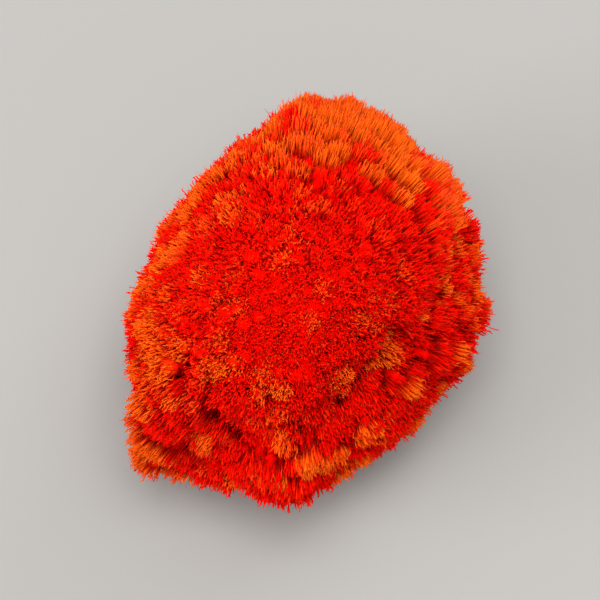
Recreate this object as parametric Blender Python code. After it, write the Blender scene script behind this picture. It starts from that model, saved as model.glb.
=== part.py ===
"""A yarn pom pom, lying on a flat surface.

Yarn is wound into a thick bundle, tied tight round its middle and cut at both ends. The cut ends fan out from the
tie in two domes, whose edges meet in a crease round the waist. Neighbouring yarn ends cling together in locks, and
all the locks run into the tied middle, so they are one solid. The ball lies on its lower dome, tipped over a little,
and the locks under it are pressed short and level.

Metres, +Z up. The surface that the pom pom lies on is Z = 0, and the origin is under the middle of its box.
"""

import math
import random
from collections import namedtuple

import bmesh
import bpy
from mathutils import Vector

MM = 0.001
UP = Vector((0, 0, 1))

# Driving sizes. The heights are measured from the tie, at the middle of the ball.
TIE_HEIGHT = 11.6 * MM  # above the surface that the ball lies on
CROWN_HEIGHT = 13.2 * MM  # from the tie to the top of the pile
UNDERSIDE_DEPTH = 13.0 * MM  # from the tie to the tips underneath, if nothing pressed them short
BACKING_SHARE = 0.45  # of the way out from the tie, where the locks part from each other

# The outline seen from above: one row for each turn of the edge, azimuth in degrees from +X, radius in mm.
Turn = namedtuple("Turn", "azimuth radius")
OUTLINE = (
    Turn(0, 13.6),
    Turn(16, 14.5),
    Turn(30, 15.8),
    Turn(45, 14.8),
    Turn(64, 16.6),
    Turn(88, 16.3),
    Turn(104, 14.2),
    Turn(122, 12.9),
    Turn(140, 12.5),
    Turn(170, 12.5),
    Turn(196, 14.2),
    Turn(211, 15.5),
    Turn(224, 19.4),
    Turn(240, 16.1),
    Turn(252, 15.6),
    Turn(266, 16.2),
    Turn(288, 13.0),
    Turn(305, 13.3),
    Turn(325, 12.9),
    Turn(345, 13.7),
)

# Swellings and hollows of the pile, one row each: where they are and how far they spread, in degrees, and the rise
# of the pile there, in mm. The tips fall away from one another where part is above 0, and huddle where it is below.
Swell = namedtuple("Swell", "azimuth elevation spread rise part")
SWELLS = (
    Swell(95, 40, 24, 0.6, -0.20),
    Swell(38, 34, 20, 0.6, -0.30),
    Swell(215, 36, 26, 0.7, 0.25),
    Swell(316, 32, 20, -1.2, 0.35),
    Swell(160, 52, 22, -0.4, 0.20),
    Swell(285, -10, 22, 0.6, -0.25),
    Swell(345, -6, 22, 0.4, -0.25),
    Swell(130, -22, 30, 0.4, 0.15),
    Swell(260, 66, 20, 0.3, -0.20),
    Swell(356, -2, 7, 1.3, 0.0),
)

# Places where the pile is combed over: one row each, the middle and the spread in degrees, the way that the yarn leans
# to, and how far it leans that way.
Combing = namedtuple("Combing", "azimuth elevation spread to_azimuth to_elevation far")
COMBINGS = (
    Combing(74, 50, 30, 72, 0, 0.42),
    Combing(24, 46, 24, 30, 0, 0.36),
    Combing(160, 50, 24, 170, 0, 0.18),
)

# The waist: a crease square to the bundle of yarn, where the edges of the two domes meet.
BUNDLE_AZIMUTH = 138  # degrees, the way that the upper dome faces
BUNDLE_ELEVATION = 58
CREASE_DEPTH = 1.3 * MM
CREASE_SPREAD = 0.16  # of the radius, to each side
CREASE_PART = 0.55  # how strongly the tips fall away from it

# Locks of yarn, on cells of 3 or 4 corners that share out the ball.
CELL_CORNERS = 268  # makes 286 cells
LAYOUT_SEED = 3
CORNER_STRAY = 0.2  # of the distance between neighbouring corners
LENGTH_STRAY = 0.025  # of the lock's length, to each side
LEAN_SHARE = 0.8  # of the free play of a lock inside its own cell
PROUD_SHARE = 0.06  # of the locks stand out of the pile
PROUD_RISE = 0.6 * MM

# Open places, where the pile parts into single locks: one row each, the middle and the spread in degrees, how open it
# is, and the share of its locks that have sunk in.
OpenPlace = namedtuple("OpenPlace", "azimuth elevation spread strength sunk")
OPEN_PLACES = (
    OpenPlace(308, 21, 25, 1.0, 0.95),
    OpenPlace(334, 14, 20, 0.8, 0.80),
    OpenPlace(270, 12, 24, 0.8, 0.70),
    OpenPlace(236, 12, 24, 0.75, 0.50),
    OpenPlace(150, -8, 30, 0.5, 0.50),
    OpenPlace(50, -15, 30, 0.4, 0.50),
)
SINK_DEPTH = 2.4 * MM

# Tufts that stand alone in the open places: one row each, where they point, in degrees.
Tuft = namedtuple("Tuft", "azimuth elevation")
STANDING_TUFTS = (
    Tuft(317, 33),
    Tuft(290, 36),
    Tuft(317, 15),
    Tuft(298, 8),
    Tuft(261, 20),
    Tuft(278, 4),
    Tuft(259, 2),
    Tuft(224, 0),
)

# Rings of one lock, from its root to its cut tip: share of the lock's length, and share of its cell that it fills.
Ring = namedtuple("Ring", "along fill")
LOCK_RINGS = (Ring(0.0, 0.80), Ring(0.4, 0.62), Ring(0.82, 0.74), Ring(1.0, 0.40))
LEVEL_TIP_FILL = 0.80  # of the cell, at a tip that stands on the surface

YARN_COLOUR = (0.86, 0.075, 0.004, 1.0)
YARN_ROUGHNESS = 0.9


def direction(azimuth, elevation):
    """The unit vector that points that way, from degrees."""
    turn, rise = math.radians(azimuth), math.radians(elevation)
    return Vector((math.cos(turn) * math.cos(rise), math.sin(turn) * math.cos(rise), math.sin(rise)))


def outline_radius(azimuth):
    """The radius of the outline at an azimuth from 0 to 360 degrees, eased from each turn to the next."""
    again = Turn(OUTLINE[0].azimuth + 360, OUTLINE[0].radius)
    for start, end in zip(OUTLINE, OUTLINE[1:] + (again,)):
        if azimuth <= end.azimuth:
            share = (azimuth - start.azimuth) / (end.azimuth - start.azimuth)
            eased = (1 - math.cos(math.pi * share)) / 2
            return (start.radius + (end.radius - start.radius) * eased) * MM


def nearness(way, place):
    """1 in the middle of a swelling, hollow or open place, fading to 0 round it."""
    apart = math.degrees(way.angle(direction(place.azimuth, place.elevation)))
    return math.exp(-((apart / place.spread) ** 2))


def crease_nearness(way):
    """1 in the crease of the waist, fading to 0 on both sides."""
    off_waist = way.dot(direction(BUNDLE_AZIMUTH, BUNDLE_ELEVATION))
    return math.exp(-((off_waist / CREASE_SPREAD) ** 2))


def pile_reach(way):
    """How far the pile reaches from the tie in the direction way, where nothing presses it."""
    level = math.hypot(way.x, way.y) / outline_radius(math.degrees(math.atan2(way.y, way.x)) % 360)
    upright = way.z / (CROWN_HEIGHT if way.z > 0 else UNDERSIDE_DEPTH)
    reach = 1 / math.hypot(level, upright) - CREASE_DEPTH * crease_nearness(way)
    return reach + sum(swell.rise * MM * nearness(way, swell) for swell in SWELLS)


def combed(way, along):
    """Where the yarn that roots at way points, at that share of its length."""
    bundle = direction(BUNDLE_AZIMUTH, BUNDLE_ELEVATION)
    lean = bundle * way.dot(bundle) * crease_nearness(way) * CREASE_PART
    for swell in SWELLS:
        lean += (way - direction(swell.azimuth, swell.elevation)) * nearness(way, swell) * swell.part
    for combing in COMBINGS:
        lean += (direction(combing.to_azimuth, combing.to_elevation) - way) * nearness(way, combing) * combing.far
    return (way + lean * along).normalized()


def sink(way, chosen):
    """How far the lock at way has sunk in. It has where chosen, a number from 0 to 1, falls in the share that sank."""
    openness, place = max((place.strength * nearness(way, place), place) for place in OPEN_PLACES)
    return SINK_DEPTH * openness if chosen < place.sunk else 0.0


def above_surface(way, reach):
    """reach, cut back to where the surface stops yarn that runs in the direction way."""
    return min(reach, TIE_HEIGHT / -way.z) if way.z < 0 else reach


def make_cells():
    """A ball of unit radius, shared out into a face for each lock. Its corners lie on a strayed spiral."""
    ball = bmesh.new()
    chance = random.Random(LAYOUT_SEED)
    turn_between = math.pi * (3 - math.sqrt(5))
    distance = math.sqrt(4 * math.pi / CELL_CORNERS)
    for number in range(CELL_CORNERS):
        height = 1 - (2 * number + 1) / CELL_CORNERS
        elevation = math.degrees(math.asin(height))
        stray = Vector([chance.uniform(-1, 1) for _ in range(3)]) * CORNER_STRAY * distance
        ball.verts.new((direction(math.degrees(turn_between * number), elevation) + stray).normalized())
    bmesh.ops.convex_hull(ball, input=ball.verts[:])
    bmesh.ops.join_triangles(
        ball, faces=ball.faces[:], angle_face_threshold=math.pi, angle_shape_threshold=math.pi
    )
    return ball


def standing_cells(cells):
    """The cells that the standing tufts grow from: to each tuft, the one nearest to where it points."""
    return {
        max(cells, key=lambda cell: cell.calc_center_median().normalized().dot(direction(*tuft)))
        for tuft in STANDING_TUFTS
    }


def raise_lock(ball, face, chance, stands_alone):
    """Draws one lock out of its cell, ring by ring. It stays inside the cell's cone, so it touches no other lock."""
    corners = [corner.co.copy() for corner in face.verts]
    middle = sum(corners, Vector()) / len(corners)
    tip_way = combed(middle.normalized(), 1.0)
    reach = pile_reach(tip_way) * (1 + chance.uniform(-LENGTH_STRAY, LENGTH_STRAY))
    if chance.random() < PROUD_SHARE:
        reach += PROUD_RISE
    sunk = sink(middle.normalized(), chance.random())
    if not stands_alone:
        reach -= sunk
    lean = (chance.choice(corners) - middle) * chance.random() * LEAN_SHARE
    stands = above_surface(tip_way, reach) < reach
    for ring in LOCK_RINGS:
        fill = LEVEL_TIP_FILL if stands and ring.along == 1.0 else ring.fill
        share = BACKING_SHARE + (1 - BACKING_SHARE) * ring.along
        face = bmesh.ops.extrude_discrete_faces(ball, faces=[face])["faces"][0]
        for vertex, corner in zip(face.verts, corners):
            root = middle + (corner - middle) * fill + lean * (1 - fill) * ring.along
            way = combed(root.normalized(), ring.along)
            vertex.co = way * above_surface(way, reach) * share + UP * TIE_HEIGHT


def make_pile():
    """The backing and the locks on it, as one closed mesh."""
    pile = make_cells()
    cells, corners = pile.faces[:], pile.verts[:]
    chance = random.Random(LAYOUT_SEED)
    standing = standing_cells(cells)
    for cell in cells:
        raise_lock(pile, cell, chance, cell in standing)
    for corner in corners:
        way = corner.co.copy()
        corner.co = way * above_surface(way, pile_reach(way)) * BACKING_SHARE + UP * TIE_HEIGHT
    return pile


def centre_over_origin(mesh):
    """Shifts the mesh level, so that the middle of its box is over the origin."""
    for axis in range(2):
        places = [vertex.co[axis] for vertex in mesh.vertices]
        middle = (min(places) + max(places)) / 2
        for vertex in mesh.vertices:
            vertex.co[axis] -= middle


def yarn_material():
    """Soft dyed yarn, with no gloss."""
    material = bpy.data.materials.new("dyed_yarn")
    material.use_nodes = True
    shader = material.node_tree.nodes["Principled BSDF"]
    shader.inputs["Base Color"].default_value = YARN_COLOUR
    shader.inputs["Roughness"].default_value = YARN_ROUGHNESS
    shader.inputs["Metallic"].default_value = 0.0
    return material


def main():
    for old in list(bpy.data.objects):
        bpy.data.objects.remove(old)
    pile = make_pile()
    mesh = bpy.data.meshes.new("pile")
    pile.to_mesh(mesh)
    pile.free()
    centre_over_origin(mesh)
    mesh.materials.append(yarn_material())
    bpy.context.scene.collection.objects.link(bpy.data.objects.new("pile", mesh))


main()
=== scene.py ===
import math
import random

import bmesh
import bpy
import numpy as np
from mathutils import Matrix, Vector


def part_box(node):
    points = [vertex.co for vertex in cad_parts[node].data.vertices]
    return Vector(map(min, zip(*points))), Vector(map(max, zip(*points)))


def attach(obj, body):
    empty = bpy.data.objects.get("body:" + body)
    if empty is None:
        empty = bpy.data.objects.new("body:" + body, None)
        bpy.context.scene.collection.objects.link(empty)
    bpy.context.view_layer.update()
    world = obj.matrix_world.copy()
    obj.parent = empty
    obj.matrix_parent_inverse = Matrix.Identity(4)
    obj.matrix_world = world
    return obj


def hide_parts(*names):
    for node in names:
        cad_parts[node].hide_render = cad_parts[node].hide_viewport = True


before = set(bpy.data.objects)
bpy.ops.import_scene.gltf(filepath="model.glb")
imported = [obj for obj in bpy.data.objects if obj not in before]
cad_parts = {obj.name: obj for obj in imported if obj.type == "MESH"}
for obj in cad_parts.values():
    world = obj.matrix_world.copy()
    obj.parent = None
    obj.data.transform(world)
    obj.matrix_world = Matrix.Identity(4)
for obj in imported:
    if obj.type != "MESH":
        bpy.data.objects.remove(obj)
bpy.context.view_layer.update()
mm = 0.001
print("frame loaded:", sorted(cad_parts))

# The shape of the ball, the same as the solid's. Angles are in degrees.
ball = {
    "tie": (0.105 * mm, 0.031 * mm, 11.6 * mm),  # the tied middle of the bundle, above the floor
    "crown": 13.2 * mm,  # from the tie to the top
    "underside": 13.0 * mm,  # from the tie to the tips underneath, if nothing pressed them short
    "backing": 0.45,  # share of the way out from the tie where the locks part
    # the outline seen from above: azimuth, radius
    "outline": (
        (0, 13.6 * mm),
        (16, 14.5 * mm),
        (30, 15.8 * mm),
        (45, 14.8 * mm),
        (64, 16.6 * mm),
        (88, 16.3 * mm),
        (104, 14.2 * mm),
        (122, 12.9 * mm),
        (140, 12.5 * mm),
        (170, 12.5 * mm),
        (196, 14.2 * mm),
        (211, 15.5 * mm),
        (224, 19.4 * mm),
        (240, 16.1 * mm),
        (252, 15.6 * mm),
        (266, 16.2 * mm),
        (288, 13.0 * mm),
        (305, 13.3 * mm),
        (325, 12.9 * mm),
        (345, 13.7 * mm),
    ),
    # swellings and hollows: azimuth, elevation, spread, rise of the pile, how far its tips fall apart
    "swells": (
        (95, 40, 24, 0.6 * mm, -0.20),
        (38, 34, 20, 0.6 * mm, -0.30),
        (215, 36, 26, 0.7 * mm, 0.25),
        (316, 32, 20, -1.2 * mm, 0.35),
        (160, 52, 22, -0.4 * mm, 0.20),
        (285, -10, 22, 0.6 * mm, -0.25),
        (345, -6, 22, 0.4 * mm, -0.25),
        (130, -22, 30, 0.4 * mm, 0.15),
        (260, 66, 20, 0.3 * mm, -0.20),
        (356, -2, 7, 1.3 * mm, 0.0),
    ),
    # where the pile is combed over: azimuth, elevation, spread, the azimuth and elevation it leans to,
    # how far, and how sleek it lies
    "combings": (
        (74, 50, 30, 72, 0, 0.42, 0.8),
        (24, 46, 24, 30, 0, 0.36, 1.0),
        (160, 50, 24, 170, 0, 0.18, 0.3),
    ),
    "upperDomeFaces": (138, 58),  # azimuth and elevation of the bundle of yarn
    "creaseDepth": 1.3 * mm,  # where the two domes meet, round the waist
    "creaseSpread": 0.16,  # share of the radius, to each side
    "creasePart": 0.55,
}

# The locks that neighbouring yarn ends cling together in, on the same cells as the solid's.
locks = {
    "corners": 268,
    "seed": 3,
    "stray": 0.2,  # share of the distance between neighbouring corners
    "lengthStray": 0.025,
    "lean": 0.8,
    "leanKept": 0.5,
    "denseFreedom": 0.25,  # how far the locks of the dense pile stray, as a share of those in the open
    "proudShare": 0.06,
    "proudRise": 0.6 * mm,
    # share of their distance that the ends of one lock draw together by, in the dense pile and in the open
    "huddle": 0.04,
    "openHuddle": 0.48,
    # where the pile opens into single locks: azimuth, elevation, spread, how open it is, and the share of its
    # locks that have sunk in
    "openPlaces": (
        (308, 21, 25, 1.0, 0.95),
        (334, 14, 20, 0.8, 0.80),
        (270, 12, 24, 0.8, 0.70),
        (236, 12, 24, 0.75, 0.50),
        (150, -8, 30, 0.5, 0.50),
        (50, -15, 30, 0.4, 0.50),
    ),
    "sink": 2.4 * mm,
    # tufts that stand alone there: azimuth, elevation
    "standingTufts": ((317, 33), (290, 36), (317, 15), (298, 8), (261, 20), (278, 4), (259, 2), (224, 0)),
}


def unit(vectors):
    return vectors / np.linalg.norm(vectors, axis=-1, keepdims=True)


def wayTo(azimuth, elevation):
    turn, rise = math.radians(azimuth), math.radians(elevation)
    return np.array((math.cos(turn) * math.cos(rise), math.sin(turn) * math.cos(rise), math.sin(rise)))


# 1 in the middle of a swelling, fading to 0 round it
def swellNearness(ways, azimuth, elevation, spread):
    apart = np.degrees(np.arccos(np.clip(ways @ wayTo(azimuth, elevation), -1, 1)))
    return np.exp(-((apart / spread) ** 2))


# 1 in the crease between the two domes, fading to 0 on both sides
def creaseNearness(ways):
    return np.exp(-((ways @ wayTo(*ball["upperDomeFaces"]) / ball["creaseSpread"]) ** 2))


def outlineRadius(azimuths):
    turns = np.array(ball["outline"])
    turns = np.vstack((turns, turns[0] + (360, 0)))
    before = np.clip(np.searchsorted(turns[:, 0], azimuths, side="right") - 1, 0, len(turns) - 2)
    start, end = turns[before], turns[before + 1]
    share = (azimuths - start[..., 0]) / (end[..., 0] - start[..., 0])
    return start[..., 1] + (end[..., 1] - start[..., 1]) * (1 - np.cos(np.pi * share)) / 2


# how far the pile reaches from the tie, where nothing presses it
def pileReach(ways):
    x, y, z = ways[..., 0], ways[..., 1], ways[..., 2]
    level = np.hypot(x, y) / outlineRadius(np.degrees(np.arctan2(y, x)) % 360)
    upright = z / np.where(z > 0, ball["crown"], ball["underside"])
    reach = 1 / np.hypot(level, upright) - ball["creaseDepth"] * creaseNearness(ways)
    for azimuth, elevation, spread, rise, part in ball["swells"]:
        reach = reach + rise * swellNearness(ways, azimuth, elevation, spread)
    return reach


# where the yarn that roots at each way points, at that share of its length
def combed(ways, along):
    bundle = wayTo(*ball["upperDomeFaces"])
    lean = bundle * (ways @ bundle * creaseNearness(ways) * ball["creasePart"])[..., None]
    for azimuth, elevation, spread, rise, part in ball["swells"]:
        nearness = swellNearness(ways, azimuth, elevation, spread)[..., None]
        lean = lean + (ways - wayTo(azimuth, elevation)) * nearness * part
    for azimuth, elevation, spread, *toward, far, sleek in ball["combings"]:
        nearness = swellNearness(ways, azimuth, elevation, spread)[..., None]
        lean = lean + (wayTo(*toward) - ways) * nearness * far
    return unit(ways + lean * along[..., None])


# how far the pile has opened into single locks, from 0 to 1, and the share of them that have sunk in
def openness(ways):
    near = [strength * swellNearness(ways, *place) for *place, strength, sunk in locks["openPlaces"]]
    return np.max(near, axis=0), np.array(locks["openPlaces"])[np.argmax(near, axis=0), 4]


# reach, cut back to where the floor stops the yarn
def aboveFloor(ways, reach):
    down = np.minimum(ways[..., 2], -1e-6)
    return np.where(ways[..., 2] < 0, np.minimum(reach, ball["tie"][2] / -down), reach)


def layOutLocks():
    cells = bmesh.new()
    chance = random.Random(locks["seed"])
    turnBetween = math.pi * (3 - math.sqrt(5))
    distance = math.sqrt(4 * math.pi / locks["corners"])
    for number in range(locks["corners"]):
        elevation = math.degrees(math.asin(1 - (2 * number + 1) / locks["corners"]))
        stray = Vector([chance.uniform(-1, 1) for _ in range(3)]) * locks["stray"] * distance
        corner = Vector(wayTo(math.degrees(turnBetween * number), elevation)) + stray
        cells.verts.new(corner.normalized())
    bmesh.ops.convex_hull(cells, input=cells.verts[:])
    bmesh.ops.join_triangles(
        cells, faces=cells.faces[:], angle_face_threshold=math.pi, angle_shape_threshold=math.pi
    )
    chance = random.Random(locks["seed"])
    made = {"middle": [], "lean": [], "length": [], "rise": [], "sunk": []}
    for face in cells.faces:
        corners = [corner.co.copy() for corner in face.verts]
        middle = sum(corners, Vector()) / len(corners)
        made["middle"].append(middle)
        made["length"].append(1 + chance.uniform(-locks["lengthStray"], locks["lengthStray"]))
        made["rise"].append(locks["proudRise"] if chance.random() < locks["proudShare"] else 0)
        made["sunk"].append(chance.random())
        made["lean"].append((chance.choice(corners) - middle) * chance.random() * locks["lean"])
    cells.free()
    made = {name: np.array(values) for name, values in made.items()}
    made["middle"] = unit(made["middle"])
    made["open"], sunkShare = openness(made["middle"])
    made["sunk"] = made["sunk"] < sunkShare
    free = locks["denseFreedom"] + (1 - locks["denseFreedom"]) * made["open"]
    made["length"] = 1 + (made["length"] - 1) * free
    made["lean"] = made["lean"] * (locks["leanKept"] * free)[:, None]
    standing = [np.argmax(made["middle"] @ wayTo(*tuft)) for tuft in locks["standingTufts"]]
    made["sunk"][standing] = False
    made["lean"][standing] = [wayTo(*tuft) for tuft in locks["standingTufts"]] - made["middle"][standing]
    made["rise"] = made["rise"] - made["sunk"] * made["open"] * locks["sink"]
    made["loose"] = made["open"] * np.where(made["sunk"], -looseness["sunkTighterPaintedShade"], looseness["proudLooserPaintedHighlight"])
    chance = np.random.default_rng(locks["seed"])
    made["loose"] = made["loose"] + chance.normal(0, looseness["lockStray"], len(made["sunk"]))
    made["loose"][standing] += looseness["standingLooserPaintedHighlight"]
    return made


# How far the yarn ends have loosened: 0 where they are cropped tight and only their red cut ends show,
# 1 where they have opened and show the lighter sides of their fibres.
looseness = {
    "most": 0.42,  # of the ends
    "contrast": 1.7,  # how far the ends keep to either state
    "shutShare": 0.55,  # of the ends in the open places are tight all the same, and lower
    "openShut": 0.9,
    "openRim": 1.1,  # how much tighter, and redder, the outer ends of a tuft are there, partly painted shade between the tufts
    "openShutLower": 1.0 * mm,
    "looseRise": 0.45 * mm,  # how much prouder a loose end stands than a tight one
    "riseFrom": 0.8,  # the looseness that stands no prouder than the solid
    # faces that are tighter or, below 0, looser than most: azimuth, elevation, spread, how much. The loose,
    # orange faces on the top and upper flanks are partly a painted highlight where the light falls, and the
    # tight, red face on top is partly painted shade where the pile is seen end-on.
    "faces": (
        (275, 78, 36, 0.75),
        (200, 82, 20, 0.25),
        (2, 42, 18, 0.25),
        (354, 58, 12, 0.25),
        (342, 34, 14, 0.20),
        (250, 20, 20, 0.10),
        (302, 20, 20, 0.30),
        (255, -5, 25, 0.20),
        (175, -12, 30, 0.20),
        (60, -20, 30, 0.20),
        (72, 74, 12, -0.50),
        (60, 58, 18, -0.45),
        (86, 44, 22, -0.42),
        (330, 50, 14, -0.35),
        (200, 10, 24, -0.25),
        (224, 40, 18, -0.35),
        (160, 52, 20, -0.20),
        (26, 44, 20, -0.48),
    ),
    "clumpStray": 0.22,  # over a few neighbouring locks
    "lockStray": 0.13,
    "stray": 0.30,
    "openStray": 0.20,  # added in the open places
    "plyStray": 0.20,  # between the three plies of one end
    "fibreStray": 0.08,
    # sunk locks tighter and darker red as painted shade; proud and standing tufts looser and lighter orange,
    # partly a painted highlight
    "sunkTighterPaintedShade": 1.4,
    "proudLooserPaintedHighlight": 0.45,
    "standingLooserPaintedHighlight": 0.5,
}

# Clumps of a few locks, where the pile is a little fuller and looser.
clumps = {
    "seed": 24,
    "waves": 7,
    "perRadius": 2.3,  # clumps along one radius of the ball
    "rise": 0.18 * mm,
}

# The cut yarn ends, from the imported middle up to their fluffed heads.
yarn = {
    "ends": 1620,
    "seed": 21,
    "stray": 0.18,  # share of the distance between neighbouring ends
    "firstTurn": 1.0,  # radians, so that the ends don't start in line with the locks
    "lengthStray": 0.012,
    "openLengthStray": 0.02,  # added to it in the open places
    "tuftDome": 0.9 * mm,  # how much shorter the outer ends of a tuft are there
    "shorter": (88, 20, 34, 0.55 * mm),  # trimmed a little: azimuth, elevation, spread, how much
    "bend": 0.15 * mm,  # sideways at the tip
    "radius": 0.56 * mm,  # of the twisted yarn, below its fluffed head
    "plies": 3,
    "plyDepth": 0.26,  # share of the radius between the plies of the twist
    "turns": 1.7,  # of twist, from the backing to the tip
    "lumps": 0.16,
    "fluffed": 0.90,  # radius of the yarn where it has fluffed out, as a share of its head's
    "bareThinner": 0.28,  # how much less where it is combed over or stands alone
    # along the yarn: share of its length, how far it has fluffed out, share of the girth, colour step (the
    # low steps take the dark root colour, painted shade deep in the pile)
    "rings": (
        (0.40, 0.0, 0.0, 0.20),
        (0.44, 0.0, 0.9, 0.22),
        (0.60, 0.1, 1.0, 0.36),
        (0.73, 0.4, 1.0, 0.52),
        (0.83, 0.85, 1.0, 0.66),
        (0.88, 1.0, 0.90, 0.70),
        (0.91, 1.0, 0.50, 0.70),
        (0.92, 1.0, 0.0, 0.70),
    ),
    "fluffedFrom": 0.6,  # the colour step from which it counts as fluffed
    "tightPaintedShade": 0.15,  # how much lower the colour step of a tight end's fluffed part is, darkening it as painted shade
    "barePaintedShade": 0.60,  # and that of one that is combed over or stands alone
    "looseKeeps": 0.80,  # how much less so where it has loosened
    "bareLower": 0.12,  # how much lower its fluffed part ends where it is combed over or stands alone
    "tipFrom": 0.8,  # share of its length, from which its tip's direction is taken
    "pieces": 5,
}

# The head of fibres that each yarn end opens into.
heads = {
    "seed": 22,
    "crowding": 0.63,  # radius as a share of the distance to the next heads
    "neighbours": 4,  # how many of those
    "smallest": 0.55 * mm,
    "largest": 1.05 * mm,
    "sizeStray": 0.12,
    "dome": 0.42,  # how much lower its rim is than its middle, as a share of its radius
    "tilt": 0.30,  # slope of the cut, to each side
    "tipStray": 0.12 * mm,
    "sideStray": 0.13 * mm,
    "thicknessStray": 0.3,
    "tightDome": 0.4,  # dome and flare of a tight head, as a share of a loose one's
    "longer": 0.18,  # how much farther down the yarn the fibres part where it is bare
    "leaveStray": 0.05,  # share of the yarn's length that the fibres leave it over
    "gathered": 0.8,  # how far out they leave it, as a share of their place in the head
    "curlOver": 0.85,  # share of a half wave that their curl runs over
    "sleekFlatter": 0.6,  # how much less a head domes and flares where the pile lies sleek
    "sleekStep": 0.12,  # added to its colour step there
    "tightThicker": 0.24,
    "tightSideStray": 0.12 * mm,  # added in a tight head, so that it merges with the next
    # fibres: how many, nearest and farthest from the head's middle, where they leave the yarn, the flare
    # and the curl of their tips, radius, and the share of their length and colour step of each point
    "fibres": (
        (66, 0.0, 1.0, 0.82, 0.08 * mm, 0.14 * mm, 0.059 * mm, ((0, 0.50), (0.88, 0.82), (1, 1.0))),
        (16, 0.70, 1.0, 0.79, 0.34 * mm, 0.20 * mm, 0.040 * mm, ((0, 0.50), (0.80, 0.82), (1, 1.0))),
    ),
}


# slow changes over the ball, mostly between -1 and 1
def unevenness(ways):
    chance = np.random.default_rng(clumps["seed"])
    axes = unit(chance.normal(size=(clumps["waves"], 3)))
    phases = chance.random(clumps["waves"]) * 2 * math.pi
    waves = np.sin(ways @ axes.T * 2 * math.pi * clumps["perRadius"] + phases)
    return waves.sum(axis=-1) / math.sqrt(clumps["waves"])


# Loose fibres that stand out of the pile.
looseFibres = {
    "count": 1200,
    "seed": 23,
    "leave": 0.88,  # share of the yarn's length where they leave it
    "thickness": 0.020 * mm,
    "taper": (1.1, 0.6),  # share of the thickness at the root and at the tip
    "shortest": 0.7 * mm,
    "longest": 1.9 * mm,
    "lean": 0.6,  # away from the yarn
    "curl": 0.9,
    "curlReach": 0.22,  # of a full curl, as a share of the fibre's length
    "curlTurns": (1.5, 5.0),  # radians, least and most
    "points": 8,
    "colourFrom": 0.7,  # colour step at the root
    "colourRise": 0.2,
}

# The strands packed round the tie, which show only between the tufts.
packedYarn = {
    "below": 1.1 * mm,  # how far it lies below the tips in the dense pile
    "belowTight": 0.85 * mm,  # where the pile is cropped tight
    "tightPlace": (275, 76, 34),
    "belowOpen": 5.0 * mm,  # and where it is open
    "belowParted": 3.0 * mm,  # added where the tips have all fallen apart, or are combed away
    "roundTo": 15.6 * mm,  # it stays rounder than the pile, within this radius
    "steps": (0.60, 0.38),  # colour step near the tips and deep down, the deep one darker as painted shade
    "partedPaintedShade": 2,  # how much sooner the deep step is reached where the tips have parted, painted shade in the parting
    "strandDepth": 0.22 * mm,
    "strandPitch": 0.95 * mm,
    "strandWays": ((1, 0.2, 0.1), (-0.4, 1, 0.3), (0.2, -0.5, 1)),  # which ways the strands cross
    "subdivisions": 6,
}


def layOutYarn(lock):
    chance = np.random.default_rng(yarn["seed"])
    count = yarn["ends"]
    number = np.arange(count)
    height = 1 - (2 * number + 1) / count
    turn = number * math.pi * (3 - math.sqrt(5)) + yarn["firstTurn"]
    level = np.sqrt(1 - height**2)
    ways = np.stack((level * np.cos(turn), level * np.sin(turn), height), axis=1)
    ways = ways + chance.uniform(-1, 1, (count, 3)) * yarn["stray"] * math.sqrt(4 * math.pi / count)
    ways = unit(ways)
    nearest = np.argmax(ways @ lock["middle"].T, axis=1)
    made = {"way": ways, "middle": lock["middle"][nearest], "lean": lock["lean"][nearest]}
    made["huddle"] = locks["huddle"] + (locks["openHuddle"] - locks["huddle"]) * lock["open"][nearest]
    tipWay = yarnWay(made, np.ones(count))
    opened = lock["open"][nearest]
    longer = 1 + chance.uniform(-1, 1, count) * (yarn["lengthStray"] + yarn["openLengthStray"] * opened)
    made["reach"] = pileReach(tipWay) * lock["length"][nearest] * longer + lock["rise"][nearest]
    lockRadius = math.sqrt(4 / len(lock["middle"]))  # on a ball of radius 1
    off = np.linalg.norm(ways - made["middle"], axis=1) / lockRadius
    shut = chance.random(count) < looseness["shutShare"]
    lower = yarn["tuftDome"] * off**2 + looseness["openShutLower"] * shut
    made["reach"] += clumps["rise"] * unevenness(tipWay) - lower * opened * ~lock["sunk"][nearest]
    *trimmed, shorter = yarn["shorter"]
    made["reach"] -= shorter * swellNearness(ways, *trimmed)
    made["bend"] = chance.normal(0, yarn["bend"], (count, 3))
    tighter = sum(strength * swellNearness(ways, *face) for *face, strength in looseness["faces"])
    loose = looseness["most"] - tighter + lock["loose"][nearest]
    loose = loose + looseness["clumpStray"] * unevenness(ways)
    loose = loose - (shut * looseness["openShut"] + looseness["openRim"] * off**2) * opened
    loose = loose + chance.normal(0, 1, count) * (looseness["stray"] + looseness["openStray"] * opened)
    plies = loose[:, None] + chance.normal(0, looseness["plyStray"], (count, yarn["plies"]))
    made["loosePlies"] = np.clip((plies - 0.5) * looseness["contrast"] + 0.5, 0, 1)
    made["loose"] = made["loosePlies"].mean(axis=1)
    made["spin"] = chance.random(count) * 2 * math.pi
    made["tilt"] = chance.random(count) * heads["tilt"]
    sleek = [sleek * swellNearness(ways, *place) for *place, _, _, _, sleek in ball["combings"]]
    made["sleek"] = np.max(sleek, axis=0)
    made["bare"] = np.maximum(made["sleek"], lock["open"][nearest])
    tip, below = yarnPoint(made, np.ones(count)), yarnPoint(made, np.full(count, yarn["tipFrom"]))
    made["along"] = unit(tip - below)
    made["side"] = unit(np.cross(made["along"], chance.normal(size=(count, 3))))
    made["across"] = np.cross(made["along"], made["side"])
    made["head"] = headRadius(tip)
    return made


# arrays of ends x fibres x points, or ends alone, depending on the shares asked for
def spreadOver(values, shares):
    return values.reshape(values.shape[:1] + (1,) * (shares.ndim - 1) + values.shape[1:])


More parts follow.
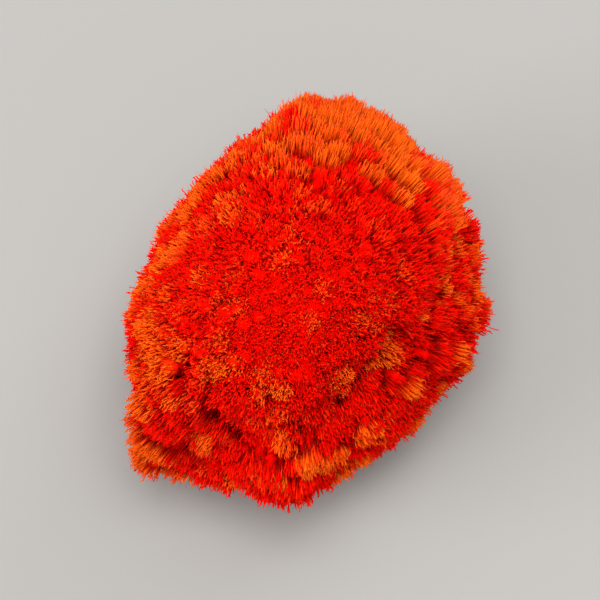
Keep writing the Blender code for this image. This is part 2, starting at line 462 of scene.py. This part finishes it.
def yarnWay(ends, shares):
    middle, way = spreadOver(ends["middle"], shares), spreadOver(ends["way"], shares)
    share = shares[..., None]
    lean = spreadOver(ends["lean"], shares) * share
    huddle = spreadOver(ends["huddle"], shares)[..., None]
    return combed(unit(middle + (way - middle) * (1 - huddle * share) + lean), shares)


def yarnPoint(ends, shares):
    way = yarnWay(ends, shares)
    reach = aboveFloor(way, spreadOver(ends["reach"], shares))
    out = ball["backing"] + (1 - ball["backing"]) * shares
    bend = spreadOver(ends["bend"], shares) * (shares**2)[..., None]
    return way * (reach * out)[..., None] + bend + np.array(ball["tie"])


# Closed tubes along many paths at once. The first and last point of a path close its ends, and
# widths has a radius for each corner of each ring between them.
def tubes(paths, widths, turn):
    count, rings, sides = widths.shape
    along = unit(paths[:, 2:] - paths[:, :-2])
    across = unit(np.cross(along, unit(np.roll(along[:, :1], 1, axis=2) + (0.3, -0.2, 0.5))))
    up = np.cross(along, across)
    angle = turn[..., None] + np.arange(sides) * 2 * math.pi / sides
    ring = across[:, :, None] * (np.cos(angle) * widths)[..., None]
    ring = ring + up[:, :, None] * (np.sin(angle) * widths)[..., None] + paths[:, 1:-1, None]
    corners = np.concatenate((ring.reshape(count, -1, 3), paths[:, :1], paths[:, -1:]), axis=1)
    first, last = rings * sides, rings * sides + 1
    triangles, slots, levels = [], [], []
    for side in range(sides):
        after = (side + 1) % sides
        triangles.append((first, after, side))
        slots.append((side, side + 1, side))
        levels.append((0, 1, 1))
        for row in range(rings - 1):
            low, high = row * sides, (row + 1) * sides
            triangles += [(low + side, low + after, high + after), (low + side, high + after, high + side)]
            slots += [(side, side + 1, side + 1), (side, side + 1, side)]
            levels += [(row + 1, row + 1, row + 2), (row + 1, row + 2, row + 2)]
        top = (rings - 1) * sides
        triangles.append((top + side, top + after, last))
        slots.append((side, side + 1, side))
        levels.append((rings, rings, rings + 1))
    triangles = np.array(triangles)[None] + (np.arange(count) * corners.shape[1])[:, None, None]
    slots, levels = np.array(slots), np.array(levels)
    return {"corners": corners, "triangles": triangles, "slots": slots, "levels": levels, "sides": sides}


# The map that the grain lies on: looseness runs across it and the colour step up it.
yarnMap = {
    "margin": 0.02,
    "across": 0.95,
    "upward": 0.96,
    "side": 0.004,  # width of one side of a tube
}


# one mesh of many tubes, with the colour step towards the cut end and the looseness of the yarn on it
def meshOf(name, made, colourSteps, looseShares, material):
    corners = np.concatenate([part["corners"].reshape(-1, 3) for part in made])
    corners[:, 2] = np.maximum(corners[:, 2], 0)
    triangles, start = [], 0
    pointStep, pointLoose, mapped = [], [], []
    for part, step, loose in zip(made, colourSteps, looseShares):
        count, perTube = part["corners"].shape[:2]
        triangles.append(part["triangles"].reshape(-1, 3) + start)
        start += count * perTube
        inner = np.repeat(step[:, 1:-1], part["sides"], axis=1)
        pointStep.append(np.concatenate((inner, step[:, :1], step[:, -1:]), axis=1).ravel())
        pointLoose.append(np.repeat(loose, perTube))
        across = yarnMap["margin"] + yarnMap["across"] * loose[:, None, None]
        across = across + part["slots"][None] * yarnMap["side"]
        upward = yarnMap["margin"] + yarnMap["upward"] * step[:, part["levels"]]
        mapped.append(np.stack((across, upward), axis=-1).reshape(-1, 2))
    triangles = np.concatenate(triangles)
    mesh = bpy.data.meshes.new(name)
    mesh.vertices.add(len(corners))
    mesh.vertices.foreach_set("co", corners.astype(np.float32).ravel())
    mesh.loops.add(triangles.size)
    mesh.loops.foreach_set("vertex_index", triangles.astype(np.int32).ravel())
    mesh.polygons.add(len(triangles))
    mesh.polygons.foreach_set("loop_start", np.arange(0, triangles.size, 3, dtype=np.int32))
    mesh.polygons.foreach_set("loop_total", np.full(len(triangles), 3, np.int32))
    mesh.update(calc_edges=True)
    mesh.shade_smooth()
    for attribute, values in (("colourStep", pointStep), ("looseness", pointLoose)):
        layer = mesh.attributes.new(attribute, "FLOAT", "POINT")
        layer.data.foreach_set("value", np.concatenate(values).astype(np.float32))
    uvMap = mesh.uv_layers.new(name="OFBake")
    uvMap.data.foreach_set("uv", np.concatenate(mapped).astype(np.float32).ravel())
    mesh.materials.append(material)
    piece = bpy.data.objects.new(name, mesh)
    bpy.context.scene.collection.objects.link(piece)
    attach(piece, "root")
    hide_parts("pile")
    print("made", name, "with", len(triangles), "triangles")
    return piece


# the twisted yarn itself, a lobed tube that fluffs out into a lumpy head
def yarnStems(ends, chance):
    share, opened, girth, step = np.array(yarn["rings"]).T
    count = len(ends["reach"])
    paths = yarnPoint(ends, share - yarn["bareLower"] * opened * ends["bare"][:, None])
    opened, girth = opened[1:-1], girth[1:-1]
    fluffed = ends["head"] * (yarn["fluffed"] - yarn["bareThinner"] * ends["bare"])
    radii = (yarn["radius"] * (1 - opened) + fluffed[:, None] * opened) * girth
    plies = 1 - np.array((0, yarn["plyDepth"]) * yarn["plies"]) * (1 - opened[:, None])
    lumps = chance.uniform(-1, 1, (count, len(opened), 2 * yarn["plies"]))
    lumps = 1 + lumps * yarn["lumps"] * opened[:, None]
    turn = ends["spin"][:, None] + share[1:-1] * yarn["turns"] * 2 * math.pi
    # the fluffed heads of the stems take a lower, darker colour step: painted shade
    barePaintedShade = yarn["barePaintedShade"] * ends["bare"] * (1 - yarn["looseKeeps"] * ends["loose"])
    darker = np.maximum(yarn["tightPaintedShade"] * (1 - ends["loose"]), barePaintedShade)
    steps = step * (1 - (step > yarn["fluffedFrom"]) * darker[:, None])
    return tubes(paths, radii[..., None] * plies * lumps, turn), steps


# how wide each yarn end fluffs out: as far as its neighbours let it
def headRadius(tips):
    apart = np.linalg.norm(tips[:, None] - tips[None], axis=-1) + np.eye(len(tips))
    near = np.sort(apart, axis=1)[:, : heads["neighbours"]].mean(axis=1)
    chance = np.random.default_rng(heads["seed"])
    size = 1 + chance.uniform(-1, 1, len(tips)) * heads["sizeStray"]
    return np.clip(near * heads["crowding"], heads["smallest"], heads["largest"]) * size


# one kind of fibre for every yarn end: each leaves the yarn and runs out to its place in the head
def headFibres(ends, kind, chance):
    per, nearest, farthest, leave, flare, curl, thickness, points = kind
    steps, colourSteps = np.array(points).T
    shape = (len(ends["reach"]), per)
    out = np.sqrt(chance.uniform(nearest**2, farthest**2, shape))
    angle = chance.random(shape) * 2 * math.pi
    ply = (angle / (2 * math.pi / yarn["plies"])).astype(int)
    loose = np.take_along_axis(ends["loosePlies"], ply, axis=1)
    leave = leave + chance.random(shape) * heads["leaveStray"] - (heads["longer"] * ends["bare"])[:, None]
    side, across, along = (spreadOver(ends[name], leave) for name in ("side", "across", "along"))
    outward = side * np.cos(angle)[..., None] + across * np.sin(angle)[..., None]
    head = spreadOver(ends["head"], leave)
    ease = heads["tightDome"] + (1 - heads["tightDome"]) * loose
    ease = ease * (1 - heads["sleekFlatter"] * spreadOver(ends["sleek"], leave))
    start = yarnPoint(ends, leave) + outward * (out * head * heads["gathered"])[..., None]
    slope = np.cos(angle - spreadOver(ends["spin"], leave)) * spreadOver(ends["tilt"], leave)
    drop = head * out * (heads["dome"] * ease * out + slope) + chance.normal(0, heads["tipStray"], shape)
    drop = drop - looseness["looseRise"] * (loose - looseness["riseFrom"])
    wide = head * out + flare * ease * chance.random(shape)
    end = yarnPoint(ends, np.ones(shape)) + outward * wide[..., None] - along * drop[..., None]
    sideStray = heads["sideStray"] + heads["tightSideStray"] * (1 - loose)
    end = end + chance.normal(0, 1, (*shape, 3)) * sideStray[..., None]
    steps = steps[:, None]
    line = start[:, :, None] * (1 - steps) + end[:, :, None] * steps
    curled = np.sin(steps * math.pi * heads["curlOver"])
    line = line + chance.normal(0, curl, (*shape, len(steps), 3)) * curled
    paths = line.reshape(-1, len(steps), 3)
    thick = thickness * (1 + heads["tightThicker"] * (1 - loose)).ravel()
    thick = thick * (1 + chance.uniform(-1, 1, len(paths)) * heads["thicknessStray"])
    paths[..., 2] = np.maximum(paths[..., 2], thick[:, None])
    widths = np.broadcast_to(thick[:, None, None], (len(paths), len(steps) - 2, 3))
    tips = np.minimum(np.repeat(ends["sleek"], per)[:, None] * heads["sleekStep"] + colourSteps, 1)
    loose = loose.ravel() + chance.normal(0, looseness["fibreStray"], len(paths))
    return tubes(paths, widths, np.zeros(widths.shape[:2])), tips, np.clip(loose, 0, 1)


def makeYarnEnds(ends, material):
    chance = np.random.default_rng(heads["seed"])
    for number, chosen in enumerate(np.array_split(np.arange(yarn["ends"]), yarn["pieces"])):
        some = {name: values[chosen] for name, values in ends.items()}
        made = [(*yarnStems(some, chance), some["loose"])]
        made += [headFibres(some, kind, chance) for kind in heads["fibres"]]
        meshOf(f"yarnEnds_{number + 1}", *zip(*made), material)


def makeLooseFibres(ends, material):
    chance = np.random.default_rng(looseFibres["seed"])
    count = looseFibres["count"]
    chosen = chance.integers(0, yarn["ends"], count)
    some = {name: values[chosen] for name, values in ends.items()}
    root = yarnPoint(some, np.full(count, looseFibres["leave"]))
    length = chance.uniform(looseFibres["shortest"], looseFibres["longest"], count)
    steps = np.linspace(0, 1, looseFibres["points"])
    lean = unit(some["along"] + chance.normal(0, looseFibres["lean"], (count, 3)))
    side = unit(np.cross(lean, chance.normal(size=(count, 3))))
    across = np.cross(lean, side)
    angle = chance.uniform(*looseFibres["curlTurns"], count)[:, None] * steps
    angle = angle + chance.random(count)[:, None] * 2 * math.pi
    swing = (length * looseFibres["curlReach"] * looseFibres["curl"])[:, None] * steps
    paths = root[:, None] + lean[:, None] * (length[:, None] * steps)[..., None]
    paths = paths + side[:, None] * (np.cos(angle) * swing)[..., None]
    paths = paths + across[:, None] * (np.sin(angle) * swing)[..., None]
    paths[..., 2] = np.maximum(paths[..., 2], looseFibres["thickness"])
    taper = np.linspace(*looseFibres["taper"], len(steps) - 2)
    radii = looseFibres["thickness"] * np.broadcast_to(taper, (count, len(taper)))
    made = tubes(paths, np.repeat(radii[..., None], 3, axis=2), np.zeros_like(radii))
    colourSteps = looseFibres["colourFrom"] + looseFibres["colourRise"] * steps
    tips = np.broadcast_to(colourSteps, (count, len(steps)))
    meshOf("looseFibres", (made,), (tips,), (some["loose"],), material)


def makePackedYarn(material):
    core = bmesh.new()
    bmesh.ops.create_icosphere(core, subdivisions=packedYarn["subdivisions"], radius=1)
    ways = unit(np.array([corner.co for corner in core.verts]))
    deep = openness(ways)[0]
    below = packedYarn["below"] + (packedYarn["belowOpen"] - packedYarn["below"]) * deep
    below += (packedYarn["belowTight"] - packedYarn["below"]) * swellNearness(ways, *packedYarn["tightPlace"])
    parting = [(*place, max(part, 0)) for *place, _, part in ball["swells"]]
    parting += [(*place, far) for *place, _, _, far, _ in ball["combings"]]
    parted = sum(far * swellNearness(ways, *place) for *place, far in parting)
    below += packedYarn["belowParted"] * parted
    reach = np.minimum(aboveFloor(ways, pileReach(ways)), packedYarn["roundTo"]) - below
    pitch = packedYarn["strandPitch"] / reach
    strandWays = [unit(np.array(way)) for way in packedYarn["strandWays"]]
    waves = [np.sin(ways @ way / pitch * 2 * math.pi) for way in strandWays]
    lumps = (waves[0] * waves[1] + waves[2]) / 2
    points = ways * (reach + lumps * packedYarn["strandDepth"])[:, None]
    for corner, place in zip(core.verts, points + np.array(ball["tie"])):
        corner.co = place
    mesh = bpy.data.meshes.new("packedYarn")
    core.to_mesh(mesh)
    core.free()
    mesh.shade_smooth()
    # darker deep down and where the pile parts: painted shade
    shallow, deepest = packedYarn["steps"]
    steps = shallow + (deepest - shallow) * np.clip(deep + packedYarn["partedPaintedShade"] * parted, 0, 1)
    mesh.attributes.new("colourStep", "FLOAT", "POINT").data.foreach_set("value", steps.astype(np.float32))
    mesh.materials.append(material)
    piece = bpy.data.objects.new("packedYarn", mesh)
    bpy.context.scene.collection.objects.link(piece)
    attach(piece, "root")
    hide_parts("pile")
    print("made packedYarn with", len(mesh.polygons), "triangles")


# Dyed and fluffed yarn, with painted shade and a painted glint in its colours. Colours are linear. The steps
# run from the imported middle, 0, to the cut end, 1.
yarnColoursAndPaintedLight = {
    # the colour deep in the pile, darkened as painted shade
    "Painted Shade Root Colour": (0.48, 0.0002, 0.0, 1),
    "Body Colour": (0.87, 0.0012, 0.0, 1),
    "Fluff Colour": (0.92, 0.126, 0.004, 1),  # the sides of the loosened fibres
    "Cut Colour": (0.98, 0.0010, 0.0, 1),  # their cut ends
    "Painted Glint Cut Colour": (0.98, 0.040, 0.018, 1),  # a lighter, pinker cut end on those that have begun to loosen: a painted glint
    "Pale From": 0.10,
    "Pale To": 0.40,
    "Body From": 0.20,
    "Body To": 0.60,
    "Fluff From": 0.62,
    "Fluff To": 0.85,
    "Cut From": 0.84,
    # tight ends darkened against loosened ones: painted shade
    "Tight Painted Shade": 0.96,
    "Loose Tips": 0.75,  # how much of the cut colour a loosened end loses
}
fibreGrain = {
    "across": 900,  # streaks across and along the yarn's map
    "along": 9,
    "packedAcross": 2600,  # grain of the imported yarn, per metre
    "detail": 3.0,
    "noiseRoughness": 0.6,
    "from": 0.35,  # heights between which the colour goes from darkest to full
    "to": 0.6,
    "bump": 0.6,
    "depth": 0.06 * mm,
    "darkest": 0.92,  # colour between the fibres, painted shade
    "roughness": (0.72, 0.95),
}
softness = {
    "Specular IOR Level": 0.10,
    "Specular Tint": (1.0, 0.2, 0.1, 1),
    "Sheen Weight": 0.05,
    "Sheen Roughness": 0.5,
    "Sheen Tint": (1.0, 0.2, 0.1, 1),
    "Metallic": 0.0,
}


def newGroup(name, inputs, outputs):
    group = bpy.data.node_groups.new(name, "ShaderNodeTree")
    for way, sockets in (("INPUT", inputs), ("OUTPUT", outputs)):
        for label, kind in sockets:
            group.interface.new_socket(name=label, in_out=way, socket_type="NodeSocket" + kind)
    return group, group.nodes.new("NodeGroupInput").outputs, group.nodes.new("NodeGroupOutput").inputs


def addMath(tree, operation, first, second):
    node = tree.nodes.new("ShaderNodeMath")
    node.operation = operation
    for value, socket in zip((first, second), node.inputs):
        if isinstance(value, (int, float)):
            socket.default_value = value
        else:
            tree.links.new(value, socket)
    return node.outputs[0]


# Streaks of single fibres along the yarn; the dark between them is painted shade.
def grainGroup():
    inputs = (("Place", "Vector"), ("Across", "Float"), ("Along", "Float"), ("Darkest", "Float"))
    group, given, put = newGroup("fibreGrain", inputs, (("Height", "Float"), ("Brightness", "Float")))
    nodes, links = group.nodes, group.links
    kinds = ("CombineXYZ", "VectorMath", "TexNoise")
    stretch, place, noise = (nodes.new("ShaderNode" + kind) for kind in kinds)
    links.new(given["Across"], stretch.inputs["X"])
    links.new(given["Along"], stretch.inputs["Y"])
    links.new(given["Along"], stretch.inputs["Z"])
    place.operation = "MULTIPLY"
    links.new(given["Place"], place.inputs[0])
    links.new(stretch.outputs[0], place.inputs[1])
    noise.inputs["Scale"].default_value = 1.0
    noise.inputs["Detail"].default_value = fibreGrain["detail"]
    noise.inputs["Roughness"].default_value = fibreGrain["noiseRoughness"]
    links.new(place.outputs[0], noise.inputs["Vector"])
    links.new(noise.outputs["Fac"], put["Height"])
    brighter = nodes.new("ShaderNodeMapRange")
    brighter.inputs["From Min"].default_value = fibreGrain["from"]
    brighter.inputs["From Max"].default_value = fibreGrain["to"]
    links.new(noise.outputs["Fac"], brighter.inputs["Value"])
    links.new(given["Darkest"], brighter.inputs["To Min"])
    links.new(brighter.outputs["Result"], put["Brightness"])
    return group


# The dye, with painted shade and a painted glint: colour from the step towards the cut end, how loose the
# yarn is, and the grain; tight ends are darkened as painted shade.
def dyeAndPaintedLightGroup():
    floats = ("Step", "Loose", "Grain", "Body From", "Body To", "Fluff From", "Fluff To", "Cut From")
    floats += ("Tight Painted Shade", "Loose Tips", "Pale From", "Pale To")
    colours = ("Painted Shade Root Colour", "Body Colour", "Fluff Colour", "Cut Colour", "Painted Glint Cut Colour")
    inputs = [(name, "Float") for name in floats] + [(name, "Color") for name in colours]
    group, given, put = newGroup("yarnDyeAndPaintedLight", inputs, (("Colour", "Color"),))
    nodes, links = group.nodes, group.links
    # lighter, pinker cut ends as the yarn begins to loosen: painted glint
    pale, cut = nodes.new("ShaderNodeMapRange"), nodes.new("ShaderNodeMix")
    for source, socket in (("Loose", "Value"), ("Pale From", "From Min"), ("Pale To", "From Max")):
        links.new(given[source], pale.inputs[socket])
    cut.data_type = "RGBA"
    links.new(pale.outputs["Result"], cut.inputs["Factor"])
    links.new(given["Cut Colour"], cut.inputs[6])
    links.new(given["Painted Glint Cut Colour"], cut.inputs[7])
    colour = given["Painted Shade Root Colour"]
    for low, high, after in (
        ("Body From", "Body To", "Body Colour"),
        ("Fluff From", "Fluff To", "Fluff Colour"),
        ("Cut From", None, "Cut Colour"),
    ):
        ramp, mix = nodes.new("ShaderNodeMapRange"), nodes.new("ShaderNodeMix")
        ramp.interpolation_type = "SMOOTHSTEP"
        links.new(given["Step"], ramp.inputs["Value"])
        links.new(given[low], ramp.inputs["From Min"])
        if high:
            links.new(given[high], ramp.inputs["From Max"])
        mix.data_type = "RGBA"
        amount = ramp.outputs["Result"]
        if after == "Fluff Colour":
            amount = addMath(group, "MULTIPLY", amount, given["Loose"])
        if after == "Cut Colour":
            lost = addMath(group, "MULTIPLY", given["Loose"], given["Loose Tips"])
            kept = addMath(group, "SUBTRACT", 1.0, lost)
            amount = addMath(group, "MULTIPLY", amount, kept)
        links.new(amount, mix.inputs["Factor"])
        links.new(colour, mix.inputs[6])
        links.new(cut.outputs[2] if after == "Cut Colour" else given[after], mix.inputs[7])
        colour = mix.outputs[2]
    # tight ends darker than loosened ones: painted shade
    darker = nodes.new("ShaderNodeMapRange")
    links.new(given["Loose"], darker.inputs["Value"])
    links.new(given["Tight Painted Shade"], darker.inputs["To Min"])
    brightness = addMath(group, "MULTIPLY", darker.outputs["Result"], given["Grain"])
    scaled = nodes.new("ShaderNodeVectorMath")
    scaled.operation = "SCALE"
    links.new(colour, scaled.inputs[0])
    links.new(brightness, scaled.inputs["Scale"])
    links.new(scaled.outputs[0], put["Colour"])
    return group


def yarnMaterial(name, dyeAndPaintedLight, grain, packed=False):
    material = bpy.data.materials.new(name)
    material.use_nodes = True
    tree = material.node_tree
    nodes, links = tree.nodes, tree.links
    shader = nodes["Principled BSDF"]
    colour, fibres = nodes.new("ShaderNodeGroup"), nodes.new("ShaderNodeGroup")
    colour.node_tree, fibres.node_tree = dyeAndPaintedLight, grain
    for socket, value in yarnColoursAndPaintedLight.items():
        colour.inputs[socket].default_value = value
    if packed:
        place = nodes.new("ShaderNodeTexCoord").outputs["Object"]
        fibres.inputs["Across"].default_value = fibreGrain["packedAcross"]
        fibres.inputs["Along"].default_value = fibreGrain["packedAcross"]
        colour.inputs["Loose"].default_value = 0.0
        attributes = (("colourStep", "Step"),)
    else:
        place = nodes.new("ShaderNodeUVMap")
        place.uv_map = "OFBake"
        place = place.outputs["UV"]
        fibres.inputs["Across"].default_value = fibreGrain["across"]
        fibres.inputs["Along"].default_value = fibreGrain["along"]
        attributes = (("colourStep", "Step"), ("looseness", "Loose"))
    for attribute, socket in attributes:
        node = nodes.new("ShaderNodeAttribute")
        node.attribute_name = attribute
        links.new(node.outputs["Fac"], colour.inputs[socket])
    fibres.inputs["Darkest"].default_value = fibreGrain["darkest"]
    links.new(place, fibres.inputs["Place"])
    links.new(fibres.outputs["Brightness"], colour.inputs["Grain"])
    links.new(colour.outputs["Colour"], shader.inputs["Base Color"])
    rough, bump = nodes.new("ShaderNodeMapRange"), nodes.new("ShaderNodeBump")
    rough.inputs["To Min"].default_value = fibreGrain["roughness"][1]
    rough.inputs["To Max"].default_value = fibreGrain["roughness"][0]
    links.new(fibres.outputs["Height"], rough.inputs["Value"])
    links.new(rough.outputs["Result"], shader.inputs["Roughness"])
    bump.inputs["Strength"].default_value = fibreGrain["bump"]
    bump.inputs["Distance"].default_value = fibreGrain["depth"]
    links.new(fibres.outputs["Height"], bump.inputs["Height"])
    links.new(bump.outputs["Normal"], shader.inputs["Normal"])
    for socket, value in softness.items():
        shader.inputs[socket].default_value = value
    return material


# The room: a pale floor, soft lights, and the camera looking down as in the photograph.
studio = {
    "floorColour": (0.26, 0.258, 0.254, 1),
    "floorRoughness": 0.7,
    "floorWidth": 1.2,
    "skyColour": (1.0, 0.985, 0.96),
    "skyStrength": 1.02,
    "cameraElevation": 70,  # degrees
    "cameraDistance": 0.26,
    "lens": 200,
    # azimuth, elevation, distance, width, power, colour
    "lights": (
        (270, 84, 0.30, 0.16, 0.80, (1.0, 0.98, 0.94)),
        (195, 28, 0.80, 0.40, 3.9, (1.0, 0.98, 0.96)),
        (48, 32, 0.80, 0.40, 2.1, (1.0, 0.98, 0.96)),
    ),
}


def makeStudio():
    scene = bpy.context.scene
    half = studio["floorWidth"] / 2
    mesh = bpy.data.meshes.new("floor")
    corners = [(-half, -half, 0), (half, -half, 0), (half, half, 0), (-half, half, 0)]
    mesh.from_pydata(corners, [], [(0, 1, 2, 3)])
    material = bpy.data.materials.new("paleFloor")
    material.use_nodes = True
    shader = material.node_tree.nodes["Principled BSDF"]
    shader.inputs["Base Color"].default_value = studio["floorColour"]
    shader.inputs["Roughness"].default_value = studio["floorRoughness"]
    mesh.materials.append(material)
    floor = bpy.data.objects.new("floor", mesh)
    scene.collection.objects.link(floor)

    low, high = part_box("pile")
    middle = (low + high) / 2
    for number, (azimuth, elevation, distance, width, power, tint) in enumerate(studio["lights"]):
        lamp = bpy.data.lights.new(f"softLight_{number + 1}", "AREA")
        lamp.size, lamp.energy, lamp.color = width, power, tint
        light = bpy.data.objects.new(lamp.name, lamp)
        light.location = middle + Vector(wayTo(azimuth, elevation)) * distance
        light.rotation_euler = (middle - light.location).to_track_quat("-Z", "Y").to_euler()
        scene.collection.objects.link(light)

    world = bpy.data.worlds.new("softSky")
    world.use_nodes = True
    sky = world.node_tree.nodes["Background"]
    sky.inputs["Color"].default_value = (*studio["skyColour"], 1)
    sky.inputs["Strength"].default_value = studio["skyStrength"]
    scene.world = world

    lens = bpy.data.cameras.new("camera")
    lens.lens = studio["lens"]
    camera = bpy.data.objects.new("camera", lens)
    camera.location = middle + Vector(wayTo(270, studio["cameraElevation"])) * studio["cameraDistance"]
    camera.rotation_euler = (middle - camera.location).to_track_quat("-Z", "Y").to_euler()
    scene.collection.objects.link(camera)
    scene.camera = camera
    scene.view_settings.view_transform = "Standard"
    print("studio ready")


dyeAndPaintedLight, grain = dyeAndPaintedLightGroup(), grainGroup()
fluffedYarn = yarnMaterial("fluffedYarn", dyeAndPaintedLight, grain)
innerYarn = yarnMaterial("innerYarn", dyeAndPaintedLight, grain, packed=True)
yarnEnds = layOutYarn(layOutLocks())
makePackedYarn(innerYarn)
makeYarnEnds(yarnEnds, fluffedYarn)
makeLooseFibres(yarnEnds, fluffedYarn)
makeStudio()
